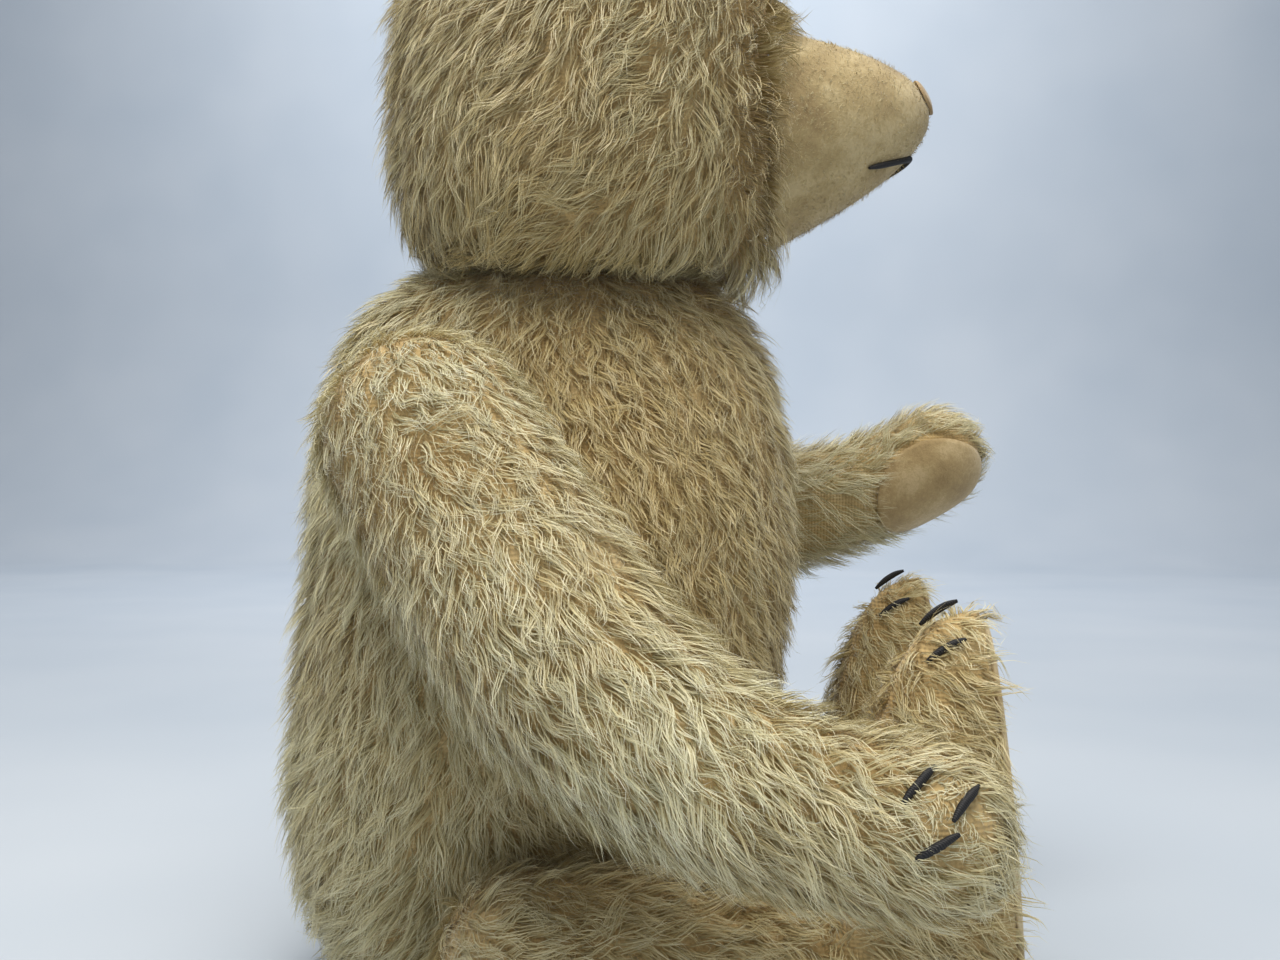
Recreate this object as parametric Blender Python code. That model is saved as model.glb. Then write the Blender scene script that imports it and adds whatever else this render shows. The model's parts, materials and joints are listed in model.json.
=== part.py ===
"""A jointed mohair teddy bear, sitting, with plush covers, stuffing, felt trim and five disc joints.

Metres, +Z up. +X is the bear's front and +Y is its left. Each limb is modelled in its joint's own
frame, where u runs along the limb, w runs outwards along the joint's axis from the plane where limb
and body meet, and v runs across the limb, upwards when it lies level.
"""

from math import acos, cos, pi, radians, sin, sqrt

import bmesh
import bpy
from mathutils import Matrix, Vector

# Fits between pieces
GAP = 0.0003
COVER = 0.0020
STUFFING = COVER + 0.0020
JOINT_CLEARANCE = 0.0005

# Body: widest at its waist, closing by a different curve above and below
BODY_TOP = 0.2320
BODY_WAIST = 0.1300
BODY_DEPTH = 0.0790
BODY_WIDTH = 0.0660
BODY_CROWN = 0.2400
BODY_ROOT = -0.0200
BODY_LEAN_LOW = -0.0140
BODY_LEAN_HIGH = 0.0010
BODY_LEAN_START = 0.0200
BODY_LEAN_END = 0.1500
BODY_DEPTH_POWERS = (2.5, 3.0)
BODY_WIDTH_POWERS = (2.4, 2.0)
BODY_RINGS = 15
BODY_SEGMENTS = 28

# Head and muzzle
HEAD_CENTRE = Vector((0.0150, 0.0, 0.2920))
HEAD_DEPTH = 0.0660
HEAD_WIDTH = 0.0630
HEAD_HEIGHT = 0.0640
HEAD_POWERS = (4.0, 2.8)
HEAD_FRONT = 0.0720
HEAD_TOP_FLAT = 0.0012
HEAD_RINGS = 11
HEAD_SEGMENTS = 24
MUZZLE_TIP = 0.1245
MUZZLE_HALF_HEIGHT = 0.0365
MUZZLE_HALF_WIDTH = 0.0320
MUZZLE_POWER = 0.5
MUZZLE_BASE_Z = 0.2760
MUZZLE_TIP_Z = 0.2835
MUZZLE_TIP_FLAT = 0.0004
MUZZLE_CROWDING = 1.9
MUZZLE_OPENING_INSET = 0.0045
MUZZLE_RINGS = 8
MUZZLE_SEGMENTS = 16
NOSE_HALF_WIDTH = 0.0068
NOSE_HALF_HEIGHT = 0.0056
NOSE_RISE = 0.0060
MOUTH_BACK = 0.0060
MOUTH_SWEEP = 0.0150
MOUTH_Z = 0.2680
MOUTH_DROOP = 0.0055
NOSE_THIN = 0.7
EYE_RADIUS = 0.0065
EYE_Y = 0.0240
EYE_Z = 0.3240
EYE_SHANK_RADIUS = 0.0011
EYE_SHANK_LENGTH = 0.0080
EYE_HOLE_RADIUS = 0.0017
EYE_HOLE_DEPTH = 0.0120
EYE_POCKET_RADIUS = 0.0022
EYE_POCKET_DEPTH = 0.0130
EYE_FACING = (0.96, 0.20, 0.18)
EYE_LIFT = 0.0024
EYE_RIM = 0.0012
EYE_BULGE = 0.8
EYE_SEGMENTS = 12
EAR_CENTRE = Vector((0.0000, 0.0450, 0.3370))
EAR_HALF_WIDTH = 0.0270
EAR_HEIGHT = 0.0330
EAR_THICKNESS = 0.0090
EAR_CUP = 0.0070
EAR_ROOT = -0.45
EAR_TILT = radians(-38)
EAR_TURN = radians(18)
EAR_RINGS = 8
EAR_SEGMENTS = 16

# Arms
SHOULDER = Vector((-0.0210, 0.0530, 0.1710))
ARM_TOE_OUT = 0.20
ARM_SPLAY = 0.30
ARM_HEEL = 0.0300
ARM_LENGTH = 0.1960
ARM_BEND_START = 0.0590
ARM_BEND_LENGTH = 0.1080
ARM_BEND = radians(50)
ARM_TOP_HEIGHT = 0.0300
ARM_TOP_WIDTH = 0.0270
PAW_HEIGHT = 0.0195
PAW_WIDTH = 0.0180
ARM_TAPER_START = 0.0550
ARM_TAPER_END = 0.1580
ARM_LAID_IN = 0.0190
RIGHT_ARM_PITCH = radians(-56)
LEFT_ARM_PITCH = radians(-22)

# Legs
HIP = Vector((0.0040, 0.0403, 0.0270))
HIP_FLAT_REACH = 0.0320
HIP_FLAT_SLOPE = 1.2
LEG_HEEL = 0.0270
LEG_LENGTH = 0.1350
THIGH_HEIGHT = 0.0260
THIGH_WIDTH = 0.0250
ANKLE_WIDTH = 0.0200
LEG_LAID_IN = 0.0198
FOOT_BOTTOM = -0.0255
ANKLE_TOP = 0.0210
TOE_TOP = 0.1040
FOOT_WIDTH = 0.0225
TOE_DEPTH = 0.0450
KNEE_START = 0.0200
ANKLE_START = 0.0680
SOLE_LEAN = 0.075
SOLE_THICKNESS = 0.0022
INSOLE_THICKNESS = 0.0015
SOLE_SHARE = 0.93
INSOLE_SHARE = 0.76
LEG_PLACES = (0.018, 0.038, 0.060, 0.080, 0.0865, 0.092, 0.099, 0.107, 0.116, 0.125)
LIMB_SEGMENTS = 16

# Joint hardware
NECK_X = 0.0080
PIN_RADIUS = 0.0020
PIN_HEAD_RADIUS = 0.0044
PIN_HEAD = 0.0020
PIN_HOLE = 0.0026
WASHER_RADIUS = 0.0065
WASHER = 0.0010
DISC = 0.0030
DISC_GAP = 0.0011
NECK_DISC_RADIUS = 0.0210
ARM_DISC_RADIUS = 0.0130
LEG_DISC_RADIUS = 0.0130
DISC_SEGMENTS = 16

# Trim
FELT = 0.0016
FELT_LIFT = 0.0012
PAD_CENTRE = 0.1685
PAD_HALF_LENGTH = 0.0240
PAD_HALF_ANGLE = radians(58)
PAD_TURN = radians(-103)
THREAD_RADIUS = 0.0013
THREAD_LIFT = 0.0007
FOOT_CLAW_START = 0.0060
FOOT_CLAW_LENGTH = 0.0130
FOOT_CLAW_TURNS = (radians(-30), 0.0, radians(30))

RIGHT = -1
LEFT = 1
SIDE_NAMES = {RIGHT: "right", LEFT: "left"}


# ---------------------------------------------------------------- scene and materials


def clear_scene():
    for thing in list(bpy.data.objects):
        bpy.data.objects.remove(thing)


def material(name, colour, roughness, metallic=0.0):
    found = bpy.data.materials.get(name)
    if found:
        return found
    made = bpy.data.materials.new(name)
    made.use_nodes = True
    shader = made.node_tree.nodes["Principled BSDF"]
    shader.inputs["Base Color"].default_value = (*colour, 1.0)
    shader.inputs["Roughness"].default_value = roughness
    shader.inputs["Metallic"].default_value = metallic
    return made


def mohair():
    return material("mohair_plush", (0.50, 0.43, 0.26), 0.90)


def felt():
    return material("wool_felt", (0.39, 0.29, 0.17), 0.95)


def wood_wool():
    return material("wood_wool", (0.55, 0.42, 0.25), 0.95)


def hardboard():
    return material("hardboard", (0.22, 0.13, 0.07), 0.80)


def steel():
    return material("steel", (0.55, 0.55, 0.56), 0.35, 1.0)


def black_thread():
    return material("black_thread", (0.010, 0.010, 0.012), 0.60)


def black_glass():
    return material("black_glass", (0.008, 0.006, 0.005), 0.08)


def cardboard():
    return material("cardboard", (0.36, 0.27, 0.17), 0.90)


def add_empty(name, matrix, parent=None):
    made = bpy.data.objects.new(name, None)
    bpy.context.collection.objects.link(made)
    made.empty_display_size = 0.02
    made.parent = parent
    made.matrix_local = matrix
    return made


def add_object(name, form, look, parent):
    """Turns a bmesh into an object under its joint's empty, shaded smooth except at sharp edges."""
    mesh = bpy.data.meshes.new(name)
    form.to_mesh(mesh)
    form.free()
    mesh.shade_smooth()
    mesh.set_sharp_from_angle(angle=radians(40))
    if look:
        mesh.materials.append(look)
    made = bpy.data.objects.new(name, mesh)
    bpy.context.collection.objects.link(made)
    made.parent = parent
    return made


def cut(thing, form, name, parent):
    """Cuts a form out of an object with an exact Boolean."""
    tool = add_object(name, form, None, parent)
    tool.hide_render = True
    tool.display_type = "WIRE"
    step = thing.modifiers.new(name, "BOOLEAN")
    step.operation = "DIFFERENCE"
    step.solver = "EXACT"
    step.object = tool


# ---------------------------------------------------------------- forms


def loft(rings):
    """A closed form through rings of points, with flat ends."""
    form = bmesh.new()
    rows = [[form.verts.new(point) for point in ring] for ring in rings]
    count = len(rows[0])
    for row, nxt in zip(rows, rows[1:]):
        for i in range(count):
            j = (i + 1) % count
            form.faces.new((row[i], row[j], nxt[j], nxt[i]))
    form.faces.new(rows[0])
    form.faces.new(rows[-1])
    bmesh.ops.recalc_face_normals(form, faces=form.faces)
    return form


def hollow(outer, inner):
    """One form from an outer and an inner closed form, with the inner one turned inside out."""
    bmesh.ops.reverse_faces(inner, faces=inner.faces)
    spare = bpy.data.meshes.new("spare")
    inner.to_mesh(spare)
    inner.free()
    outer.from_mesh(spare)
    bpy.data.meshes.remove(spare)
    return outer


def round_steps(start, end, first_radius, last_radius, straight, round_count=5):
    """Places along a form with a rounded end at each side: close together where the ends curve."""
    low = [start + first_radius * (1 - cos(pi / 2 * k / round_count)) for k in range(1, round_count + 1)]
    high = [end - last_radius * (1 - cos(pi / 2 * k / round_count)) for k in range(1, round_count + 1)]
    gap = (high[-1] - low[-1]) / (straight + 1)
    between = [low[-1] + gap * k for k in range(1, straight + 1)]
    return low + between + high[::-1]


def rounding(place, start, end, first_radius, last_radius):
    """How far a form has opened at a place along it, from 0 at its ends to 1 past its rounded ends."""
    into = max(0.0, (start + first_radius - place) / first_radius, (place - end + last_radius) / last_radius)
    return sqrt(max(0.0, 1 - into * into))


def smooth_step(low, high, value):
    t = min(1.0, max(0.0, (value - low) / (high - low)))
    return t * t * (3 - 2 * t)


def mix(a, b, t):
    return a + (b - a) * t


def turned(profile, segments, ring=False):
    """Turns (radius, along) points about the local Y axis: a closed ring, or a solid with flat ends."""
    form = bmesh.new()
    rows = []
    for radius, along in profile:
        turns = [2 * pi * i / segments for i in range(segments)]
        rows.append([form.verts.new((radius * cos(t), along, radius * sin(t))) for t in turns])
    pairs = list(zip(rows, rows[1:]))
    if ring:
        pairs.append((rows[-1], rows[0]))
    for row, nxt in pairs:
        for i in range(segments):
            j = (i + 1) % segments
            form.faces.new((row[i], row[j], nxt[j], nxt[i]))
    if not ring:
        form.faces.new(rows[0])
        form.faces.new(rows[-1])
    bmesh.ops.recalc_face_normals(form, faces=form.faces)
    return form


def tube(points, radius, segments=6):
    """A thread through points, tapering to its ends where it dives into the cloth."""
    rings = []
    for i, point in enumerate(points):
        ahead = points[min(i + 1, len(points) - 1)] - points[max(i - 1, 0)]
        side = ahead.cross(Vector((0.31, 0.17, 0.93))).normalized()
        up = ahead.cross(side).normalized()
        width = radius * (0.45 if i in (0, len(points) - 1) else 1.0)
        turns = [2 * pi * k / segments for k in range(segments)]
        rings.append([point + side * cos(t) * width + up * sin(t) * width for t in turns])
    return loft(rings)


def patch(surface, rings=3, segments=14):
    """A piece of felt laid on a surface, which is a function of two places from -1 to 1 and a lift."""
    form = bmesh.new()
    layers = []
    for lift in (FELT_LIFT, FELT_LIFT + FELT):
        middle = form.verts.new(surface(0.0, 0.0, lift))
        rows = []
        for r in range(1, rings + 1):
            size = r / rings
            turns = [2 * pi * i / segments for i in range(segments)]
            rows.append([form.verts.new(surface(size * cos(t), size * sin(t), lift)) for t in turns])
        for i in range(segments):
            j = (i + 1) % segments
            form.faces.new((middle, rows[0][i], rows[0][j]))
            for row, nxt in zip(rows, rows[1:]):
                form.faces.new((row[i], row[j], nxt[j], nxt[i]))
        layers.append(rows[-1])
    for i in range(segments):
        j = (i + 1) % segments
        form.faces.new((layers[0][i], layers[0][j], layers[1][j], layers[1][i]))
    bmesh.ops.recalc_face_normals(form, faces=form.faces)
    return form


# ---------------------------------------------------------------- joints


def joint_frame(point, outward, side):
    """A joint's place and axes: local Y lies along its axis, towards the bear's left."""
    across = outward.normalized() * side
    along = (Vector((1, 0, 0)) - across * across.x).normalized()
    up = along.cross(across)
    turn = Matrix((along, across, up)).transposed()
    return Matrix.Translation(point) @ turn.to_4x4()


def shoulder_outward(side):
    return Vector((-ARM_TOE_OUT, side, ARM_SPLAY))


def shoulder_point(side):
    return Vector((SHOULDER.x, SHOULDER.y * side, SHOULDER.z))


def hip_point(side):
    return Vector((HIP.x, HIP.y * side, HIP.z))


def ring_plate(inner, outer, low, high, side):
    return turned(
        [(inner, low * side), (outer, low * side), (outer, high * side), (inner, high * side)],
        DISC_SEGMENTS,
        ring=True,
    )


def pin_form(side):
    """A joint pin with a round head at each end, riveted over the discs."""
    body_end = JOINT_CLEARANCE + COVER + DISC_GAP + DISC + GAP
    limb_end = body_end + WASHER + GAP
    profile = [
        (PIN_HEAD_RADIUS * 0.7, -(body_end + PIN_HEAD)),
        (PIN_HEAD_RADIUS, -(body_end + PIN_HEAD * 0.6)),
        (PIN_HEAD_RADIUS, -body_end),
        (PIN_RADIUS, -body_end),
        (PIN_RADIUS, limb_end),
        (PIN_HEAD_RADIUS, limb_end),
        (PIN_HEAD_RADIUS, limb_end + PIN_HEAD * 0.6),
        (PIN_HEAD_RADIUS * 0.7, limb_end + PIN_HEAD),
    ]
    return turned([(radius, along * side) for radius, along in profile], DISC_SEGMENTS // 2)


def joint_hardware(name, radius, side, body_empty, limb_empty):
    """The two discs, the washer and the pin that hold a limb to the body and let it turn stiffly."""
    start = JOINT_CLEARANCE + COVER + DISC_GAP
    end = start + DISC
    limb_disc = ring_plate(PIN_HOLE, radius, start, end, side)
    add_object(f"{name}_limb_disc", limb_disc, hardboard(), limb_empty)
    body_disc = ring_plate(PIN_HOLE, radius, -end, -start, side)
    add_object(f"{name}_body_disc", body_disc, hardboard(), body_empty)
    washer = ring_plate(PIN_HOLE, WASHER_RADIUS, end + GAP, end + GAP + WASHER, side)
    add_object(f"{name}_washer", washer, steel(), limb_empty)
    add_object(f"{name}_pin", pin_form(side), steel(), body_empty)


def pocket_form(radius, side):
    """The room that the stuffing leaves for a disc, its washer and the pin's head."""
    reach = JOINT_CLEARANCE + COVER + DISC_GAP + DISC + WASHER + PIN_HEAD + 0.0025
    return turned([(radius + 0.0015, 0.0), (radius + 0.0015, reach * side)], DISC_SEGMENTS)


def hole_form(side):
    """The hole through a cover for a joint pin."""
    reach = (JOINT_CLEARANCE + COVER) * 1.6
    return turned([(PIN_HOLE, 0.0), (PIN_HOLE, reach * side)], DISC_SEGMENTS // 2)


# ---------------------------------------------------------------- body


def closing(place, middle, end, power):
    """A superellipse's share of its full width between its middle and its end."""
    part = min(0.999, abs((place - middle) / (end - middle)))
    return (1 - part**power) ** (1 / power)


def pressed(point, place, outward, allowed, reach=None):
    """Moves a point back to a plane, as a joint's disc flattens plush, within reach of the joint."""
    offset = point - place
    height = offset.dot(outward)
    if reach is not None:
        away = (offset - outward * height).length
        allowed += HIP_FLAT_SLOPE * max(0.0, away - reach)
    return point - outward * max(0.0, height - allowed)


def body_form(grow):
    """The body's barrel, grown or shrunk evenly, with flats for the four limbs."""
    rings = []
    low = -grow
    high = BODY_TOP + grow
    for k in range(BODY_RINGS):
        z = mix(low, high, 0.5 - 0.5 * cos(pi * k / (BODY_RINGS - 1)))
        upper = z > BODY_WAIST
        end = BODY_CROWN if upper else BODY_ROOT
        depth = closing(z, BODY_WAIST, end, BODY_DEPTH_POWERS[upper])
        width = closing(z, BODY_WAIST, end, BODY_WIDTH_POWERS[upper])
        centre = mix(BODY_LEAN_LOW, BODY_LEAN_HIGH, smooth_step(BODY_LEAN_START, BODY_LEAN_END, z))
        ring = []
        for i in range(BODY_SEGMENTS):
            t = 2 * pi * i / BODY_SEGMENTS
            point = Vector((
                centre + (BODY_DEPTH * depth + grow) * cos(t),
                (BODY_WIDTH * width + grow) * sin(t),
                z,
            ))
            for side in (RIGHT, LEFT):
                level = grow - JOINT_CLEARANCE
                point = pressed(point, shoulder_point(side), shoulder_outward(side).normalized(), level)
                point = pressed(point, hip_point(side), Vector((0, side, 0)), level, HIP_FLAT_REACH)
            point.z = min(high, max(low, point.z))
            ring.append(point)
        rings.append(ring)
    return loft(rings)


def make_body(root, frames):
    cover = add_object("body_cover", hollow(body_form(0.0), body_form(-COVER)), mohair(), root)
    filling = add_object("body_stuffing", body_form(-STUFFING), wood_wool(), root)
    for name, (empty, side, radius) in frames.items():
        cut(cover, hole_form(-side), f"{name}_body_hole", empty)
        cut(filling, pocket_form(radius, -side), f"{name}_body_pocket", empty)


# ---------------------------------------------------------------- head


def head_form(grow, front):
    """The head's rounded block, flat under the neck joint and, up to front, where the muzzle is sewn on."""
    rings = []
    low = BODY_TOP + 2 * JOINT_CLEARANCE - grow
    high = HEAD_CENTRE.z + HEAD_HEIGHT + grow - HEAD_TOP_FLAT
    for k in range(HEAD_RINGS):
        z = mix(low, high, 0.5 - 0.5 * cos(pi * k / (HEAD_RINGS - 1)))
        power = HEAD_POWERS[z > HEAD_CENTRE.z]
        share = closing(z, HEAD_CENTRE.z, HEAD_CENTRE.z + HEAD_HEIGHT + grow, power)
        ring = []
        for i in range(HEAD_SEGMENTS):
            turn = 2 * pi * i / HEAD_SEGMENTS
            x = HEAD_CENTRE.x + (HEAD_DEPTH + grow) * share * cos(turn)
            ring.append(Vector((min(x, front), (HEAD_WIDTH + grow) * share * sin(turn), z)))
        rings.append(ring)
    return loft(rings)


def muzzle_point(back, turn, lift, base=HEAD_FRONT):
    """A point on the muzzle, lifted off it; a turn of 0 is its top and pi its underside."""
    part = back / (MUZZLE_TIP - base)
    share = part**MUZZLE_POWER
    y = (MUZZLE_HALF_WIDTH * share + lift) * sin(turn)
    z = mix(MUZZLE_TIP_Z, MUZZLE_BASE_Z, part) + (MUZZLE_HALF_HEIGHT * share + lift) * cos(turn)
    return Vector((MUZZLE_TIP - back, y, z))


def muzzle_ring(back, lift, base):
    turns = [2 * pi * i / MUZZLE_SEGMENTS for i in range(MUZZLE_SEGMENTS)]
    return [muzzle_point(back, t, lift, base) for t in turns]


def muzzle_form(grow, base, deeper=0.0):
    """The muzzle's blunt cone, with a flat end at its base, or a distance past it."""
    rings = []
    for k in range(MUZZLE_RINGS):
        part = k / (MUZZLE_RINGS - 1)
        back = max((MUZZLE_TIP - base) * part**MUZZLE_CROWDING, MUZZLE_TIP_FLAT)
        forward = Vector((grow * (1 - part), 0, 0))
        rings.append([point + forward for point in muzzle_ring(back, grow, base)])
    if deeper:
        rings.append([point - Vector((deeper, 0, 0)) for point in rings[-1]])
    return loft(rings)


def muzzle_opening():
    """The opening in the head under the muzzle, where its stuffing meets the head's."""
    ring = muzzle_ring(MUZZLE_TIP - HEAD_FRONT, -MUZZLE_OPENING_INSET, HEAD_FRONT)
    front = [point + Vector((COVER, 0, 0)) for point in ring]
    back = [point - Vector((3 * COVER, 0, 0)) for point in ring]
    return loft([front, back])


def nose_form():
    """A small oval patch laid over the upper part of the muzzle's tip."""

    def surface(across, upwards, lift):
        y = NOSE_HALF_WIDTH * across
        rise = NOSE_RISE + NOSE_HALF_HEIGHT * upwards
        share = sqrt((y / MUZZLE_HALF_WIDTH) ** 2 + (rise / MUZZLE_HALF_HEIGHT) ** 2)
        back = (MUZZLE_TIP - HEAD_FRONT) * share ** (1 / MUZZLE_POWER)
        return Vector((MUZZLE_TIP - back + lift * NOSE_THIN, y, MUZZLE_TIP_Z + rise))

    return patch(surface)


def mouth_form():
    """One thread across the underside of the muzzle's tip, drooping a little to each cheek."""
    points = []
    lift = THREAD_RADIUS + THREAD_LIFT
    for k in range(-6, 7):
        back = MOUTH_BACK + MOUTH_SWEEP * abs(k / 6) ** 1.2
        top = muzzle_point(back, 0.0, lift)
        under = muzzle_point(back, pi, lift)
        middle = (top.z + under.z) / 2
        level = MOUTH_Z - MOUTH_DROOP * abs(k / 6)
        drop = min(1.0, (middle - level) / (middle - under.z))
        points.append(muzzle_point(back, pi + acos(drop) * ((k > 0) - (k < 0)), lift))
    return tube(points, THREAD_RADIUS)


def eye_frame(side):
    """An eye's place on the head's surface, with local Y pointing out of the head."""
    height = closing(EYE_Z, HEAD_CENTRE.z, HEAD_CENTRE.z + HEAD_HEIGHT, HEAD_POWERS[1])
    x = min(HEAD_FRONT, HEAD_CENTRE.x + HEAD_DEPTH * sqrt(height**2 - (EYE_Y / HEAD_WIDTH) ** 2))
    facing = Vector((EYE_FACING[0], EYE_FACING[1] * side, EYE_FACING[2])).normalized()
    place = Vector((x, EYE_Y * side, EYE_Z)) + facing * EYE_LIFT
    along = facing.cross(Vector((0, 0, 1))).normalized()
    turn = Matrix((along, facing, along.cross(facing))).transposed()
    return Matrix.Translation(place) @ turn.to_4x4()


def eye_form():
    """A domed glass eye on a wire shank."""
    profile = [(EYE_SHANK_RADIUS, -EYE_SHANK_LENGTH), (EYE_SHANK_RADIUS, 0.0)]
    profile.append((EYE_RADIUS * 0.86, 0.0))
    for k in range(5):
        t = pi / 2 * k / 5
        profile.append((EYE_RADIUS * cos(t), EYE_RIM + EYE_RADIUS * EYE_BULGE * sin(t)))
    profile.append((EYE_RADIUS * 0.12, EYE_RIM + EYE_RADIUS * EYE_BULGE))
    return turned(profile, EYE_SEGMENTS)


def eye_room(side, back, radius, depth):
    """The room for an eye's shank behind the head's surface."""
    form = turned([(radius, -depth), (radius, -GAP)], EYE_SEGMENTS)
    bmesh.ops.transform(form, matrix=back @ eye_frame(side), verts=form.verts)
    return form


def ear_form(side):
    """A rounded ear, cupped forwards, that reaches into the head before the head is cut from it."""
    tilt = Matrix.Rotation(EAR_TILT * side, 3, "X") @ Matrix.Rotation(EAR_TURN * side, 3, "Z")
    centre = Vector((EAR_CENTRE.x, EAR_CENTRE.y * side, EAR_CENTRE.z))
    rings = []
    for k in range(EAR_RINGS):
        height = mix(EAR_ROOT, 1.0, sin(pi / 2 * k / (EAR_RINGS - 1)))
        wide = sqrt(max(0.03, 1 - max(0.0, height) ** 2)) * EAR_HALF_WIDTH
        thick = EAR_THICKNESS / 2 * (1.0 - 0.55 * max(0.0, height) ** 3)
        ring = []
        for i in range(EAR_SEGMENTS):
            t = 2 * pi * i / EAR_SEGMENTS
            across = wide * cos(t)
            cup = EAR_CUP * (across / EAR_HALF_WIDTH) ** 2
            local = Vector((cup + thick * sin(t), across, EAR_HEIGHT * min(height, 0.985)))
            ring.append(centre + tilt @ local)
        rings.append(ring)
    return loft(rings)


def make_head(head):
    """The pieces that turn on the neck joint. Its empty stands upright on the joint's axis."""
    back = Matrix.Translation(-head.matrix_world.translation)

    def place(form):
        bmesh.ops.transform(form, matrix=back, verts=form.verts)
        return form

    shell = hollow(head_form(0.0, HEAD_FRONT), head_form(-COVER, HEAD_FRONT - COVER))
    cover = add_object("head_cover", place(shell), mohair(), head)
    inside = head_form(-STUFFING, HEAD_FRONT - STUFFING)
    filling = add_object("head_stuffing", place(inside), wood_wool(), head)
    cut(cover, place(muzzle_opening()), "muzzle_opening", head)

    base = HEAD_FRONT + GAP
    snout = add_object("muzzle_cover", place(muzzle_form(0.0, base)), felt(), head)
    cut(snout, place(muzzle_form(-COVER, base, deeper=0.004)), "muzzle_hollow", head)
    snout_filling = muzzle_form(-STUFFING, base + GAP)
    add_object("muzzle_stuffing", place(snout_filling), wood_wool(), head)
    add_object("nose_patch", place(nose_form()), felt(), head)
    add_object("mouth_stitch", place(mouth_form()), black_thread(), head)

    for side in (RIGHT, LEFT):
        name = SIDE_NAMES[side]
        eye = add_object(f"{name}_eye", eye_form(), black_glass(), head)
        eye.matrix_local = back @ eye_frame(side)
        cut(cover, eye_room(side, back, EYE_HOLE_RADIUS, EYE_HOLE_DEPTH), f"{name}_eye_hole", head)
        pocket = eye_room(side, back, EYE_POCKET_RADIUS, EYE_POCKET_DEPTH)
        cut(filling, pocket, f"{name}_eye_pocket", head)
        ear = add_object(f"{name}_ear", place(ear_form(side)), mohair(), head)
        cut(ear, place(head_form(2 * GAP, BODY_TOP)), f"{name}_ear_seat", head)
    return cover, filling


# ---------------------------------------------------------------- arms


def arm_centre(place):
    """The (u, v) of the arm's centreline, which bends up at the wrist, and its direction there."""
    bent = min(max(place - ARM_BEND_START, 0.0), ARM_BEND_LENGTH)
    turn = ARM_BEND * bent / ARM_BEND_LENGTH
    radius = ARM_BEND_LENGTH / ARM_BEND
    past = max(place - ARM_BEND_START - ARM_BEND_LENGTH, 0.0)
    u = min(place, ARM_BEND_START) + radius * sin(turn) + past * cos(turn)
    v = radius * (1 - cos(turn)) + past * sin(turn)
    return u, v, turn


def arm_point(place, turn, side, grow=0.0):
    """A point on the arm: a turn of 0 is its upper edge and a quarter turn its outer side."""
    narrow = smooth_step(ARM_TAPER_START, ARM_TAPER_END, place)
    open_share = rounding(
        place, -ARM_HEEL - grow, ARM_LENGTH + grow, ARM_TOP_HEIGHT + grow, PAW_HEIGHT + grow
    )
    height = (mix(ARM_TOP_HEIGHT, PAW_HEIGHT, narrow) + grow) * open_share
    width = (mix(ARM_TOP_WIDTH, PAW_WIDTH, narrow) + grow) * open_share
    u, v, slope = arm_centre(place)
    across = height * cos(turn)
    w = JOINT_CLEARANCE + ARM_LAID_IN + width * sin(turn)
    w = max(w, JOINT_CLEARANCE - grow)
    return Vector((u - across * sin(slope), w * side, v + across * cos(slope)))


def arm_form(side, grow):
    places = round_steps(
        -ARM_HEEL - grow, ARM_LENGTH + grow, ARM_TOP_HEIGHT + grow, PAW_HEIGHT + grow, straight=6
    )
    turns = [2 * pi * i / LIMB_SEGMENTS for i in range(LIMB_SEGMENTS)]
    return loft([[arm_point(s, t, side, grow) for t in turns] for s in places])


def pad_form(side):
    """The palm: an oval of felt on the paw's inner side, turned a little downwards."""

    def surface(along, around, lift):
        place = PAD_CENTRE + PAD_HALF_LENGTH * along
        return arm_point(place, PAD_TURN + PAD_HALF_ANGLE * around, side, lift)

    return patch(surface)


def stitch_on(surface, start, end, steps=4):
    """A claw's thread over a surface, between two (place, turn) pairs."""
    shares = [k / steps for k in range(steps + 1)]
    points = [surface(mix(start[0], end[0], t), mix(start[1], end[1], t)) for t in shares]
    return tube(points, THREAD_RADIUS)


# Each claw runs between two (distance back from the paw's tip, turn around the paw) pairs
PAW_CLAWS = (
    ((0.0165, radians(48)), (0.0230, radians(78))),
    ((0.0065, radians(50)), (0.0115, radians(84))),
    ((0.0100, radians(92)), (0.0195, radians(110))),
)


def make_arm(side, body_empty, limb_empty):
    name = SIDE_NAMES[side]
    shell = hollow(arm_form(side, 0.0), arm_form(side, -COVER))
    cover = add_object(f"{name}_arm_cover", shell, mohair(), limb_empty)
    cut(cover, hole_form(side), f"{name}_arm_hole", limb_empty)
    filling = add_object(f"{name}_arm_stuffing", arm_form(side, -STUFFING), wood_wool(), limb_empty)
    cut(filling, pocket_form(ARM_DISC_RADIUS, side), f"{name}_arm_pocket", limb_empty)
    add_object(f"{name}_paw_pad", pad_form(side), felt(), limb_empty)
    joint_hardware(f"{name}_shoulder", ARM_DISC_RADIUS, side, body_empty, limb_empty)

    def surface(back, turn):
        return arm_point(ARM_LENGTH - back, turn, side, THREAD_RADIUS + THREAD_LIFT)

    for number, (start, end) in enumerate(PAW_CLAWS, 1):
        claw = stitch_on(surface, start, end)
        add_object(f"{name}_paw_claw_{number}", claw, black_thread(), limb_empty)


# ---------------------------------------------------------------- legs


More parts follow.
